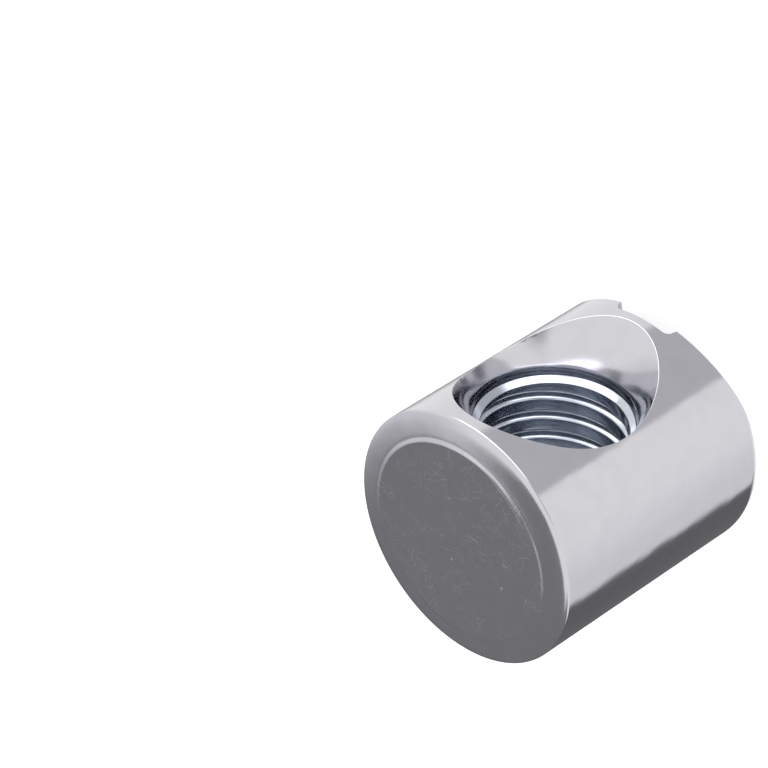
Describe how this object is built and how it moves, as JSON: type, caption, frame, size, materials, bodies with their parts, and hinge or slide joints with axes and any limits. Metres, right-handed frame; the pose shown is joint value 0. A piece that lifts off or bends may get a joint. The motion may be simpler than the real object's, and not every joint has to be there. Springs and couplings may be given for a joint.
{
  "type": "barrel nut",
  "caption": "Round barrel nut with a threaded cross hole, a wide countersunk mouth, a screwdriver slot across one end and a raised disc on the other.",
  "frame": {"origin": "centre of the slotted end, on the surface that the nut stands on", "axes": "+Z along the barrel from the slotted end to the plain end; the threaded hole runs along Y with its countersunk mouth facing -Y, and the screwdriver slot runs along Y too"},
  "size_m": [0.014, 0.014, 0.015],
  "materials": {
    "zinc_plate": "bright zinc plate, smooth, with fine handling scratches on the plain end"
  },
  "bodies": {
    "root": {"barrel_nut": "zinc_plate"}
  },
  "joints": []
}
